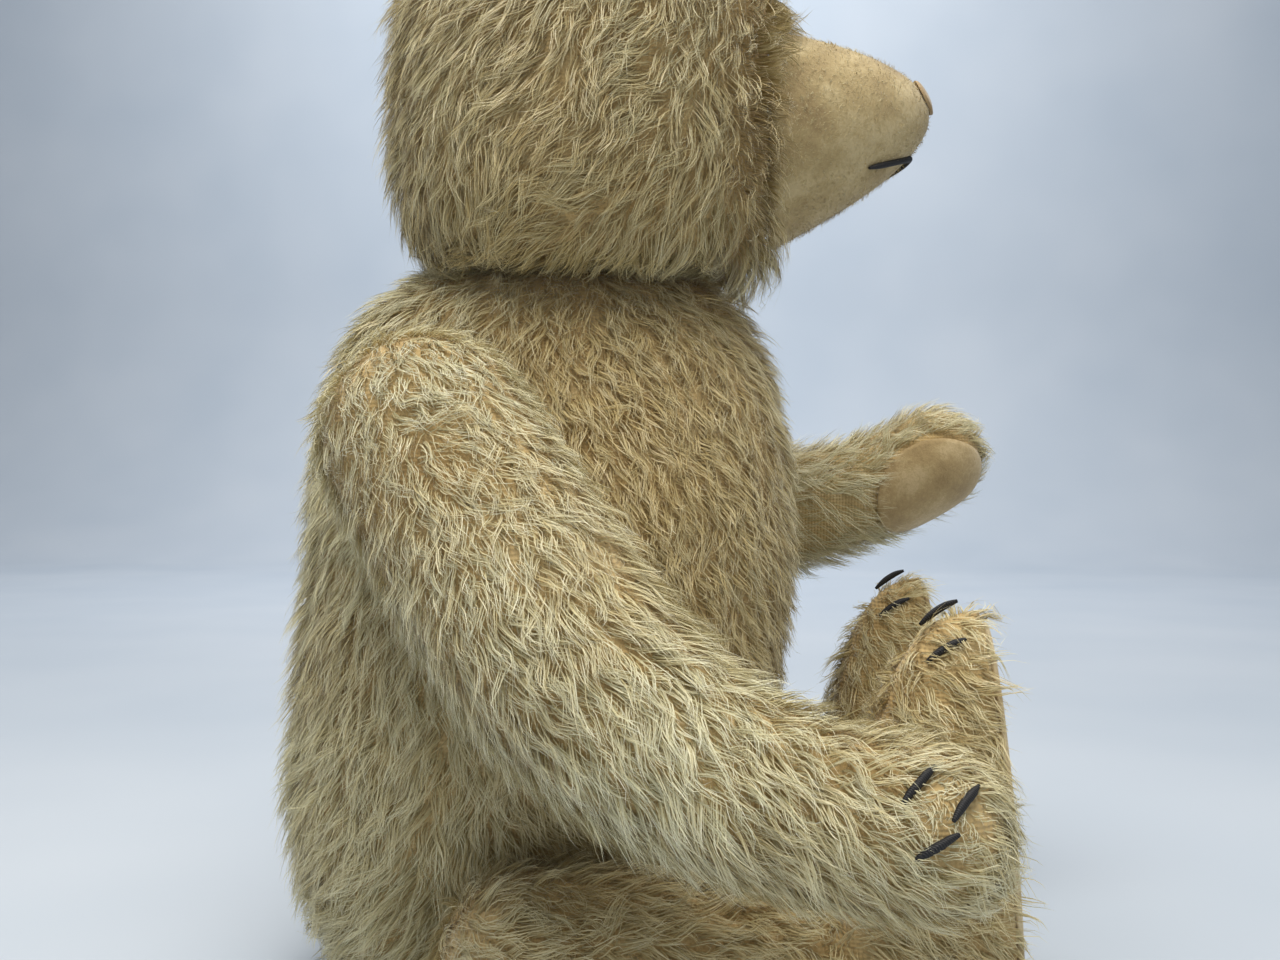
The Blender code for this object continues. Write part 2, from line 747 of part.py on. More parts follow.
def leg_ring(place, side, grow, share=1.0):
    """A ring of the leg: a round thigh, a narrower ankle and a tall foot that ends at the sole."""
    from_sole = LEG_LENGTH - place
    rise = sqrt(max(0.0, 1 - min(1.0, max(0.0, from_sole) / TOE_DEPTH) ** 2))
    thin = smooth_step(KNEE_START, ANKLE_START, place)
    top = mix(mix(THIGH_HEIGHT, ANKLE_TOP, thin), TOE_TOP, rise) + grow
    bottom = mix(-THIGH_HEIGHT, FOOT_BOTTOM, thin) - grow
    width = mix(mix(THIGH_WIDTH, ANKLE_WIDTH, thin), FOOT_WIDTH, rise) + grow
    middle = (top + bottom) / 2
    half = (top - bottom) / 2 * share
    ring = []
    for i in range(LIMB_SEGMENTS):
        t = 2 * pi * i / LIMB_SEGMENTS
        v = middle + half * cos(t)
        w = JOINT_CLEARANCE + LEG_LAID_IN + width * share * sin(t)
        lean = SOLE_LEAN * (v - FOOT_BOTTOM) * smooth_step(ANKLE_START, LEG_LENGTH, place)
        ring.append(Vector((place - lean, max(w, JOINT_CLEARANCE - grow) * side, v)))
    return ring


def leg_form(side, grow):
    start = -LEG_HEEL - grow
    radius = THIGH_HEIGHT + grow
    rings = []
    for k in range(1, 6):
        place = start + radius * (1 - cos(pi / 2 * k / 5))
        rings.append(leg_ring(place, side, grow, rounding(place, start, 1.0, radius, 0.001)))
    end = LEG_LENGTH + grow
    for place in LEG_PLACES:
        rings.append(leg_ring(place, side, grow))
    rings.append(leg_ring(end, side, grow - 0.0005))
    rings.append(leg_ring(end, side, grow, 0.88))
    return loft(rings)


def sole_form(side, start, thickness, share):
    """A flat plate with the sole's outline, from start along the leg."""
    rings = []
    for part, size in ((0.0, share), (0.7, share), (1.0, share * 0.97)):
        ring = leg_ring(LEG_LENGTH, side, 0.0, size)
        rings.append([point + Vector(((start + thickness * part), 0, 0)) for point in ring])
    return loft(rings)


def toe_point(back, turn, side):
    """A point over the toe's rounded top, lifted clear of it for a claw's thread."""
    ring = leg_ring(LEG_LENGTH - back, side, THREAD_RADIUS + THREAD_LIFT)
    step = turn / (2 * pi) * LIMB_SEGMENTS % LIMB_SEGMENTS
    low = int(step)
    return ring[low].lerp(ring[(low + 1) % LIMB_SEGMENTS], step - low)


def make_leg(side, body_empty, limb_empty):
    name = SIDE_NAMES[side]
    shell = hollow(leg_form(side, 0.0), leg_form(side, -COVER))
    cover = add_object(f"{name}_leg_cover", shell, mohair(), limb_empty)
    cut(cover, hole_form(side), f"{name}_leg_hole", limb_empty)
    filling_form = leg_form(side, -(STUFFING + INSOLE_THICKNESS + GAP))
    filling = add_object(f"{name}_leg_stuffing", filling_form, wood_wool(), limb_empty)
    cut(filling, pocket_form(LEG_DISC_RADIUS, side), f"{name}_leg_pocket", limb_empty)
    sole = sole_form(side, GAP, SOLE_THICKNESS, SOLE_SHARE)
    add_object(f"{name}_foot_sole", sole, felt(), limb_empty)
    insole = sole_form(side, -(COVER + GAP + INSOLE_THICKNESS), INSOLE_THICKNESS, INSOLE_SHARE)
    add_object(f"{name}_foot_insole", insole, cardboard(), limb_empty)
    joint_hardware(f"{name}_hip", LEG_DISC_RADIUS, side, body_empty, limb_empty)

    def surface(back, turn):
        return toe_point(back, turn, side)

    for number, turn in enumerate(FOOT_CLAW_TURNS, 1):
        claw = stitch_on(surface, (FOOT_CLAW_START, turn), (FOOT_CLAW_START + FOOT_CLAW_LENGTH, turn))
        add_object(f"{name}_foot_claw_{number}", claw, black_thread(), limb_empty)


# ---------------------------------------------------------------- assembly


def stand_on_origin(root):
    """Moves the bear so that the middle of its box's bottom is the origin."""
    bpy.context.view_layer.update()
    graph = bpy.context.evaluated_depsgraph_get()
    points = []
    for thing in bpy.data.objects:
        if thing.type == "MESH" and not thing.hide_render:
            shown = thing.evaluated_get(graph)
            points += [shown.matrix_world @ vert.co for vert in shown.data.vertices]
    low = Vector([min(p[k] for p in points) for k in range(3)])
    high = Vector([max(p[k] for p in points) for k in range(3)])
    root.location -= Vector(((low.x + high.x) / 2, (low.y + high.y) / 2, low.z))
    bpy.context.view_layer.update()


def main():
    clear_scene()
    root = add_empty("bear", Matrix.Identity(4))
    neck_place = Vector((NECK_X, 0.0, BODY_TOP + JOINT_CLEARANCE))
    head = add_empty("neck_joint", Matrix.Translation(neck_place), root)
    upright = Matrix.Translation(neck_place) @ Matrix.Rotation(pi / 2, 4, "X")
    neck = add_empty("neck_joint_axis", upright, root)
    head_axis = add_empty("head_joint_axis", Matrix.Rotation(pi / 2, 4, "X"), head)
    bpy.context.view_layer.update()
    frames = {"neck": (neck, 1, NECK_DISC_RADIUS)}
    cover, filling = make_head(head)
    cut(cover, hole_form(1), "head_pin_hole", head_axis)
    cut(filling, pocket_form(NECK_DISC_RADIUS, 1), "head_pin_pocket", head_axis)
    joint_hardware("neck", NECK_DISC_RADIUS, 1, neck, head_axis)

    for side, pitch in ((RIGHT, RIGHT_ARM_PITCH), (LEFT, LEFT_ARM_PITCH)):
        name = SIDE_NAMES[side]
        shoulder = add_empty(
            f"{name}_shoulder_joint", joint_frame(shoulder_point(side), shoulder_outward(side), side), root
        )
        arm = add_empty(f"{name}_arm", Matrix.Rotation(-pitch, 4, "Y"), shoulder)
        make_arm(side, shoulder, arm)
        hip = add_empty(f"{name}_hip_joint", joint_frame(hip_point(side), Vector((0, side, 0)), side), root)
        leg = add_empty(f"{name}_leg", Matrix.Identity(4), hip)
        make_leg(side, hip, leg)
        frames[f"{name}_shoulder"] = (shoulder, side, ARM_DISC_RADIUS)
        frames[f"{name}_hip"] = (hip, side, LEG_DISC_RADIUS)
    make_body(root, frames)
    stand_on_origin(root)


main()
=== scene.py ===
"""The looks of a jointed mohair bear, sitting: long wavy pile over plush covers, a felt muzzle, felt
paws and soles, thread claws and glass eyes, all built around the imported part."""

import json
from math import cos, pi, radians, sin

import bmesh
import bpy
import numpy as np
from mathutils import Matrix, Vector, noise
from mathutils.bvhtree import BVHTree
from mathutils.kdtree import KDTree


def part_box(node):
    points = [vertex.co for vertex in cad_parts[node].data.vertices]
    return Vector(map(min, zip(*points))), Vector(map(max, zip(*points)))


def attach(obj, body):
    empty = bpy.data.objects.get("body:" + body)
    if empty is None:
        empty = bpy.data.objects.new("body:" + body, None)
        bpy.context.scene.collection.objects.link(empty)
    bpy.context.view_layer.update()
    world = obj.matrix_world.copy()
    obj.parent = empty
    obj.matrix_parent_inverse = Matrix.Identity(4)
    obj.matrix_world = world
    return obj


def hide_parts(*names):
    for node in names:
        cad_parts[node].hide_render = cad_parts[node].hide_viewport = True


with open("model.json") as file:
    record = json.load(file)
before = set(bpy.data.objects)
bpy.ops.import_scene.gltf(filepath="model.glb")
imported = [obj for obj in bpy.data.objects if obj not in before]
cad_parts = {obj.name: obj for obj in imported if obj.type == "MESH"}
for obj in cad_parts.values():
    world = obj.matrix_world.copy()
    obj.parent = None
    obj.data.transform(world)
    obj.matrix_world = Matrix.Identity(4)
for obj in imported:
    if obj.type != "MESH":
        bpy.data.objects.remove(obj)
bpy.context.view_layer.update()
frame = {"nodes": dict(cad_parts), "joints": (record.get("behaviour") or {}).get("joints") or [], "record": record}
nodes = frame["nodes"]
scene = bpy.context.scene
noise.seed_set(7)  # Blender seeds its vector noise from the clock otherwise

SIDES = ("right", "left")

# Places on the bear, in metres: +X is to its front, +Y to its left, +Z up
NECK = Vector(next(j for j in frame["joints"] if j["name"] == "neck_swivel")["pos_m"])
MIDDLE_Y = NECK.y
BODY_LOW, BODY_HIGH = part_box("body_cover")
MUZZLE_LOW, MUZZLE_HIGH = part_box("muzzle_cover")
MUZZLE_Z = (MUZZLE_HIGH.z + MUZZLE_LOW.z) / 2

# ---------------------------------------------------------------- node helpers


def new_material(name):
    """A new material, its node tree and its shader."""
    made = bpy.data.materials.new(name)
    made.use_nodes = True
    return made, made.node_tree, made.node_tree.nodes["Principled BSDF"]


def node(tree, kind, **values):
    """A shader node with its settings; a key that names an input sets that input."""
    made = tree.nodes.new("ShaderNode" + kind)
    for key, value in values.items():
        if hasattr(made, key):
            setattr(made, key, value)
        else:
            made.inputs[key.replace("_", " ")].default_value = value
    return made


def wire(tree, source, socket):
    tree.links.new(source, socket)


def ramp(tree, source, stops):
    """A colour ramp over (position, colour) stops."""
    made = tree.nodes.new("ShaderNodeValToRGB")
    bar = made.color_ramp
    while len(bar.elements) < len(stops):
        bar.elements.new(0.5)
    for element, (place, colour) in zip(bar.elements, stops):
        element.position = place
        element.color = (*colour, 1.0)
    wire(tree, source, made.inputs["Fac"])
    return made.outputs["Color"]


def coordinates(tree, stretch=(1, 1, 1)):
    """Places on the object in metres, times a stretch along each axis."""
    place = node(tree, "TexCoord").outputs["Object"]
    mapping = node(tree, "Mapping")
    mapping.inputs["Scale"].default_value = stretch
    wire(tree, place, mapping.inputs["Vector"])
    return mapping.outputs["Vector"]


def noise_of(tree, place, scale, detail=3.0, roughness=0.55, distortion=0.0):
    """Noise with about scale blotches to each metre."""
    made = node(tree, "TexNoise", Scale=scale, Detail=detail, Roughness=roughness, Distortion=distortion)
    wire(tree, place, made.inputs["Vector"])
    return made.outputs["Fac"]


def bump(tree, shader, height, strength, distance, after=None):
    """A bump on the shader, on top of an earlier one if there is one."""
    made = node(tree, "Bump", Strength=strength, Distance=distance)
    wire(tree, height, made.inputs["Height"])
    if after is not None:
        wire(tree, after.outputs["Normal"], made.inputs["Normal"])
    wire(tree, made.outputs["Normal"], shader.inputs["Normal"])
    return made


def srgb(r, g, b):
    """A colour as it looks on a screen, from 0 to 255, in linear light."""
    values = []
    for value in (r, g, b):
        part = value / 255
        values.append(part / 12.92 if part <= 0.04045 else ((part + 0.055) / 1.055) ** 2.4)
    return tuple(values)


# ---------------------------------------------------------------- materials


def backing_material():
    """The woven cotton that the pile grows from, its threads showing where it is bare."""
    made, tree, shader = new_material("plush_backing")
    place = coordinates(tree)
    patches = noise_of(tree, place, 28.0, 4.0)
    colour = ramp(tree, patches, [
        (0.30, srgb(172, 142, 90)), (0.52, srgb(196, 168, 114)), (0.75, srgb(212, 188, 138)),
    ])
    wire(tree, colour, shader.inputs["Base Color"])
    weave = None
    for axis in ("X", "Z"):
        wave = node(tree, "TexWave", wave_type="BANDS", bands_direction=axis, Scale=260.0, Distortion=1.2)
        wire(tree, place, wave.inputs["Vector"])
        weave = bump(tree, shader, wave.outputs["Fac"], 0.5, 0.0003, weave)
    shader.inputs["Roughness"].default_value = 0.95
    shader.inputs["Sheen Weight"].default_value = 0.2
    return made


def weighted(tree, source, weight, added):
    """A value times a weight, plus another."""
    made = node(tree, "Math", operation="MULTIPLY_ADD")
    made.inputs[1].default_value = weight
    wire(tree, source, made.inputs[0])
    wire(tree, added, made.inputs[2])
    return made.outputs[0]


def felt_material(name, dark, mid, light, fuzz=1.0):
    """Wool felt: soft mottling from the mixed fibres, and a fine fibrous surface."""
    made, tree, shader = new_material(name)
    place = coordinates(tree)
    mottle = noise_of(tree, place, 60.0, 5.0, 0.6)
    fibres = noise_of(tree, place, 900.0, 4.0, 0.7, 0.6)
    broad = noise_of(tree, place, 16.0, 2.0)
    total = weighted(tree, broad, 0.45, weighted(tree, fibres, 0.35, mottle))
    colour = ramp(tree, total, [(0.62, dark), (0.88, mid), (1.12, light)])
    wire(tree, colour, shader.inputs["Base Color"])
    first = bump(tree, shader, fibres, 0.55 * fuzz, 0.0005)
    bump(tree, shader, mottle, 0.35, 0.0012, first)
    shader.inputs["Roughness"].default_value = 0.92
    shader.inputs["Sheen Weight"].default_value = 0.35
    shader.inputs["Sheen Roughness"].default_value = 0.5
    return made


def thread_material(name, dark, light):
    """Twisted cotton thread."""
    made, tree, shader = new_material(name)
    place = coordinates(tree)
    twist = node(tree, "TexWave", wave_type="BANDS", bands_direction="DIAGONAL", Scale=700.0, Distortion=3.0)
    wire(tree, place, twist.inputs["Vector"])
    colour = ramp(tree, twist.outputs["Fac"], [(0.2, dark), (0.8, light)])
    wire(tree, colour, shader.inputs["Base Color"])
    bump(tree, shader, twist.outputs["Fac"], 0.45, 0.0002)
    shader.inputs["Roughness"].default_value = 0.6
    return made


def eye_material():
    """Black glass with a faint brown depth and a few fine scuffs."""
    made, tree, shader = new_material("eye_glass")
    place = coordinates(tree)
    cloud = noise_of(tree, place, 140.0, 3.0)
    colour = ramp(tree, cloud, [(0.35, (0.004, 0.003, 0.002)), (0.8, (0.020, 0.011, 0.006))])
    wire(tree, colour, shader.inputs["Base Color"])
    scuffs = noise_of(tree, place, 900.0, 6.0, 0.7)
    rough = ramp(tree, scuffs, [(0.45, (0.04, 0.04, 0.04)), (0.8, (0.16, 0.16, 0.16))])
    wire(tree, rough, shader.inputs["Roughness"])
    shader.inputs["Coat Weight"].default_value = 0.6
    return made


def straw_material():
    """Packed wood wool: long curled shavings."""
    made, tree, shader = new_material("packed_wood_wool")
    place = coordinates(tree, (1, 1, 3))
    strands = noise_of(tree, place, 220.0, 4.0, 0.65, 3.0)
    colour = ramp(tree, strands, [
        (0.3, srgb(128, 96, 56)), (0.5, srgb(190, 158, 108)), (0.7, srgb(220, 194, 146)),
    ])
    wire(tree, colour, shader.inputs["Base Color"])
    bump(tree, shader, strands, 1.0, 0.0015)
    shader.inputs["Roughness"].default_value = 0.85
    return made


def board_material(name, dark, light, scale):
    """Pressed board: short fibres, darker specks, and a faintly rough face."""
    made, tree, shader = new_material(name)
    place = coordinates(tree)
    fibres = noise_of(tree, place, scale, 6.0, 0.7, 0.4)
    colour = ramp(tree, fibres, [(0.35, dark), (0.65, light)])
    wire(tree, colour, shader.inputs["Base Color"])
    bump(tree, shader, fibres, 0.4, 0.0003)
    shader.inputs["Roughness"].default_value = 0.8
    return made


def steel_material():
    """Plain steel with turned streaks and a little tarnish."""
    made, tree, shader = new_material("joint_steel")
    place = coordinates(tree, (1, 6, 1))
    streaks = noise_of(tree, place, 500.0, 4.0, 0.6)
    tarnish = noise_of(tree, coordinates(tree), 120.0, 4.0)
    colour = ramp(tree, tarnish, [(0.3, srgb(120, 112, 100)), (0.6, srgb(178, 178, 180))])
    wire(tree, colour, shader.inputs["Base Color"])
    rough = ramp(tree, streaks, [(0.3, (0.25, 0.25, 0.25)), (0.7, (0.45, 0.45, 0.45))])
    wire(tree, rough, shader.inputs["Roughness"])
    shader.inputs["Metallic"].default_value = 1.0
    return made


BACKING = backing_material()
MUZZLE_FELT = felt_material("muzzle_felt", srgb(150, 126, 84), srgb(184, 162, 114), srgb(204, 184, 138))
PAD_FELT = felt_material("pad_felt", srgb(146, 120, 78), srgb(182, 156, 108), srgb(204, 180, 134), 1.2)
NOSE_FELT = felt_material("nose_felt", srgb(132, 106, 70), srgb(166, 138, 98), srgb(186, 160, 118))
SOLE_FELT = felt_material("sole_felt", srgb(160, 136, 96), srgb(200, 178, 136), srgb(220, 202, 164), 1.2)
BLACK_THREAD = thread_material("claw_thread", (0.003, 0.003, 0.004), (0.020, 0.019, 0.021))
EYE_GLASS = eye_material()
WOOD_WOOL = straw_material()
HARDBOARD = board_material("disc_board", srgb(78, 52, 32), srgb(128, 92, 58), 420.0)
CARDBOARD = board_material("insole_card", srgb(134, 108, 74), srgb(178, 152, 112), 260.0)
STEEL = steel_material()


# Mohair's colours on a screen, from the roots, darkened as painted shade, to the pale worn tips
WARM_MOHAIR = ((168, 142, 88), (191, 168, 111), (207, 186, 129), (219, 202, 151), (231, 218, 174))
COOL_MOHAIR = ((186, 173, 124), (204, 194, 147), (219, 211, 170), (231, 227, 190), (241, 238, 213))
FUR_TINTS = 4
FUR_DEPTHS = 6


def colour_at(colours, share):
    """The linear colour a share of the way along a row of screen colours."""
    place = share * (len(colours) - 1)
    low = min(int(place), len(colours) - 2)
    first, second = np.array(srgb(*colours[low])), np.array(srgb(*colours[low + 1]))
    return first + (second - first) * (place - low)


def fur_palette():
    """One plain shade for each tint from warm to cool and each depth from the painted shade at the root to the
    tip.
    """
    shades = []
    for tint in range(FUR_TINTS):
        for depth in range(FUR_DEPTHS):
            warm, cool = (colour_at(row, depth / (FUR_DEPTHS - 1)) for row in (WARM_MOHAIR, COOL_MOHAIR))
            made, _, shader = new_material(f"mohair_{tint + 1}_{depth + 1}")
            colour = warm + (cool - warm) * (tint / (FUR_TINTS - 1))
            shader.inputs["Base Color"].default_value = (*colour, 1.0)
            shader.inputs["Roughness"].default_value = 0.38
            shader.inputs["Specular IOR Level"].default_value = 0.50
            shader.inputs["Sheen Weight"].default_value = 0.30
            shades.append(made)
    return shades


FUR_SHADES = fur_palette()

CAD_LOOKS = {
    "wood_wool": WOOD_WOOL,
    "hardboard": HARDBOARD,
    "steel": STEEL,
    "black_thread": BLACK_THREAD,
    "black_glass": EYE_GLASS,
    "cardboard": CARDBOARD,
    "wool_felt": MUZZLE_FELT,
    "mohair_plush": BACKING,
}


def dress_cad_nodes():
    """Each CAD node that stays on show gets the finished material of its slot."""
    for part in frame["record"]["subparts"]:
        thing = nodes[part["node"]]
        for place in thing.material_slots:
            place.link = "OBJECT"
            place.material = CAD_LOOKS[part["material_slot"]]


# ---------------------------------------------------------------- meshes


def link(name, mesh, look, body):
    """Puts a mesh in the scene as a piece that rides on a body and has a material slot's look."""
    thing = bpy.data.objects.new(name, mesh)
    scene.collection.objects.link(thing)
    if look is not None:
        mesh.materials.append(look)
    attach(thing, body)
    return thing


SAME_POINT = 1e-6
OFF_FACE = 1e-5
LARGEST_HOLE = 60  # edges round it
FLAT = radians(0.5)
PAIRED_FACE_ANGLE = radians(50)
PAIRED_SHAPE_ANGLE = radians(60)
CREASE_ANGLE = radians(62)
CREASE = 0.75


def node_form(name):
    """A CAD node's surface as a bmesh with its split corners joined."""
    form = bmesh.new()
    form.from_mesh(nodes[name].data)
    bmesh.ops.remove_doubles(form, verts=form.verts, dist=SAME_POINT)
    return form


def keep_outside(form):
    """Deletes the faces that look at the form's own far side: the lining and the edges of holes."""
    tree = BVHTree.FromBMesh(form)
    inner = []
    for face in form.faces:
        face_normal = face.normal.copy()
        hit = tree.ray_cast(face.calc_center_median() + face_normal * OFF_FACE, face_normal)
        if hit[0] is not None:
            inner.append(face)
    bmesh.ops.delete(form, geom=inner, context="FACES")
    bmesh.ops.holes_fill(form, edges=form.edges, sides=LARGEST_HOLE)


def rounded_mesh(name, form, levels):
    """The form as a mesh, its triangles paired into quads and its facets smoothed away."""
    bmesh.ops.dissolve_limit(form, angle_limit=FLAT, verts=form.verts, edges=form.edges)
    triangles = [face for face in form.faces if len(face.verts) == 3]
    bmesh.ops.join_triangles(
        form, faces=triangles,
        angle_face_threshold=PAIRED_FACE_ANGLE, angle_shape_threshold=PAIRED_SHAPE_ANGLE,
    )
    crease = form.edges.layers.float.new("crease_edge")
    for edge in form.edges:
        if len(edge.link_faces) == 2 and edge.calc_face_angle() > CREASE_ANGLE:
            edge[crease] = CREASE
    rough = bpy.data.meshes.new(name + "_cage")
    form.to_mesh(rough)
    form.free()
    holder = bpy.data.objects.new(name + "_cage", rough)
    scene.collection.objects.link(holder)
    step = holder.modifiers.new("smooth", "SUBSURF")
    step.levels = levels
    step.render_levels = levels
    graph = bpy.context.evaluated_depsgraph_get()
    mesh = bpy.data.meshes.new_from_object(holder.evaluated_get(graph))
    mesh.name = name
    mesh.shade_smooth()
    bpy.data.objects.remove(holder)
    bpy.data.meshes.remove(rough)
    mesh.materials.clear()
    return mesh


def plush(name, source, body, hollow=True):
    """A plush cover's cloth, which stands for the CAD cover."""
    form = node_form(source)
    if hollow:
        keep_outside(form)
    thing = link(name, rounded_mesh(name, form, 2), BACKING, body)
    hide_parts(source)
    return thing


def build_felt(name, source, body, look):
    """A felt piece with its CAD node's shape and softened edges."""
    thing = link(name, rounded_mesh(name, node_form(source), 2), look, body)
    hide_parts(source)
    return thing


# ---------------------------------------------------------------- fur

FLOOR_CLEAR = 0.0005  # no strand goes lower
GUIDE_STEPS = 6
LEAVES_SURFACE = 0.35  # a lock hangs free once the skin has turned this far from its root, as a cosine
LOCK_LENGTHS = (0.72, 1.15)  # the shares of the coat's length that locks have
LOCK_LIFTS = (0.55, 1.45)
LOCK_WAVES = (0.4, 1.0)
LOCK_CYCLES = (0.45, 1.1)  # waves in a lock
STEEPEST_LIFT = 0.95
TOUSLE_SIZE = 0.007
STRAY = 0.14  # how far a lock's way strays from its neighbours'
LOCK_DEPTH = 0.0004  # how far under the skin a lock's guide starts
HANG = 0.12  # how much a free lock turns down in each step
STRAND_DEPTH = 0.0005
STRAND_WIDTHS = (0.80, 1.0, 0.86, 0.62, 0.40)  # from the root to the tip
STRAND_ROLL = 0.4
OWN_LOCK, SECOND_LOCK = 0.72, 0.92  # the chances of a strand joining its nearest lock, or one of two
LOCK_TIGHTNESS = (0.18, 0.74)
UNDERCOAT = 0.22  # the share of strands that are short and darkened as painted shade
UNDERCOAT_REACH = (0.35, 0.65)
TOPCOAT_REACH = (0.72, 1.05)
STRAND_WIDTH_SPREAD = (0.7, 1.3)
PATCH_SIZE = 0.045  # of the warm and cool patches
MIDDLE_TINT = 0.45
TINT_BY_PATCH, TINT_BY_LOCK, TINT_JITTER = 0.35, 0.35, 0.12
# Shades run from 0 at the root, and these shift them
SHADE_BY_LOCK, SHADE_JITTER, SEGMENT_JITTER = 0.5, 0.35, 0.3
# How many steps darker the short undercoat strands are painted: painted shade under the topcoat
UNDERCOAT_PAINTED_SHADE = 0.8


def unit(vectors):
    return vectors / np.maximum(np.linalg.norm(vectors, axis=1, keepdims=True), 1e-9)


def across_normal(vectors, normals):
    """The part of each vector that lies in its surface."""
    return vectors - normals * np.sum(vectors * normals, axis=1, keepdims=True)


def smooth(low, high, values):
    """0 at low, 1 at high, with a soft rise between."""
    t = np.clip((values - low) / (high - low), 0.0, 1.0)
    return t * t * (3 - 2 * t)


def surface_arrays(mesh):
    """The corner points of the mesh's triangles, and the smooth normals there."""
    mesh.calc_loop_triangles()
    count = len(mesh.loop_triangles)
    index = np.zeros(count * 3, np.int32)
    mesh.loop_triangles.foreach_get("vertices", index)
    points = np.zeros(len(mesh.vertices) * 3)
    mesh.vertices.foreach_get("co", points)
    normals = np.zeros(len(mesh.vertices) * 3)
    mesh.vertices.foreach_get("normal", normals)
    index = index.reshape(-1, 3)
    return points.reshape(-1, 3)[index], normals.reshape(-1, 3)[index]


def scatter(mesh, spacing, chance, draws):
    """Points spread over a mesh, about one to each spacing squared, kept by chance, and their normals."""
    corners, corner_normals = surface_arrays(mesh)
    cross = np.cross(corners[:, 1] - corners[:, 0], corners[:, 2] - corners[:, 0])
    areas = np.linalg.norm(cross, axis=1) / 2
    count = int(areas.sum() / spacing**2)
    chosen = np.searchsorted(np.cumsum(areas), draws.random(count) * areas.sum())
    chosen = np.clip(chosen, 0, len(areas) - 1)
    a, b = draws.random(count), draws.random(count)
    flip = a + b > 1
    a[flip], b[flip] = 1 - a[flip], 1 - b[flip]
    weights = np.stack([1 - a - b, a, b], axis=1)[:, :, None]
    points = (corners[chosen] * weights).sum(axis=1)
    normals = unit((corner_normals[chosen] * weights).sum(axis=1))
    keep = draws.random(count) < chance(points, normals)
    return points[keep], normals[keep]


def swirl(points, scale, seed):
    """Smooth wandering vectors over space, about one turn in each scale."""
    shift = Vector((seed * 7.31, seed * 3.17, seed * 1.93))
    found = [noise.noise_vector(Vector(p) / scale + shift) for p in points]
    return np.array(found).reshape(-1, 3)


def comb(tree, roots, normals, coat, draws):
    """Lays each lock's guide over the surface, until the skin turns away and the lock hangs free.

    Returns points, one row for each step along the lock."""
    count = len(roots)
    lengths = coat["length"](roots, normals) * draws.uniform(*LOCK_LENGTHS, count)
    turned = swirl(roots, coat["swirl_size"], coat["seed"]) * coat["swirl"]
    fine = swirl(roots, TOUSLE_SIZE, coat["seed"] + 5) * coat["tousle"]
    loose = draws.normal(0, STRAY, (count, 3))
    way = unit(coat["flow"](roots, normals)) + turned + fine + loose
    lift = coat["lift"] * draws.uniform(*LOCK_LIFTS, count) + coat["stand"](roots, normals)
    lift = np.clip(lift, 0, STEEPEST_LIFT)
    wave = draws.uniform(*LOCK_WAVES, count) * coat["wave"] * draws.choice((-1.0, 1.0), count)
    phase = draws.uniform(0.1 * pi, 0.5 * pi, count)
    cycles = draws.uniform(*LOCK_CYCLES, count)
    base, base_normal = roots.copy(), normals.copy()
    heading = unit(across_normal(way, base_normal))
    free = np.zeros(count, bool)
    rows = [roots - normals * LOCK_DEPTH]
    for k in range(1, GUIDE_STEPS + 1):
        t = k / GUIDE_STEPS
        ahead = unit(across_normal(way, base_normal))
        ahead[free] = heading[free]
        slow = 1.0 - lift * (1.0 - t) * 1.1
        target = base + ahead * (lengths * np.clip(slow, 0.25, 1.0) / GUIDE_STEPS)[:, None]
        for i in range(count):
            if free[i]:
                continue
            found, facing, _, _ = tree.find_nearest(Vector(target[i]))
            if facing.dot(Vector(normals[i])) < LEAVES_SURFACE:
                free[i] = True
                continue
            base[i] = found
            base_normal[i] = facing
        base[free] = target[free]
        heading = ahead
        heading[free, 2] -= HANG
        heading = unit(heading)
        side = np.cross(base_normal, ahead)
        height = lengths * lift * sin(pi / 2 * min(1.0, t * 1.15)) * (0.55 + 0.45 * t)
        bend = np.sin(phase + 2 * pi * cycles * t) - np.sin(phase)
        rows.append(base + base_normal * height[:, None] + side * (bend * wave * t)[:, None])
    rows = np.array(rows)
    droop = np.linspace(0, 1, GUIDE_STEPS + 1) ** 2
    rows[:, :, 2] -= (lengths * coat["sag"])[None, :] * droop[:, None]
    return rows


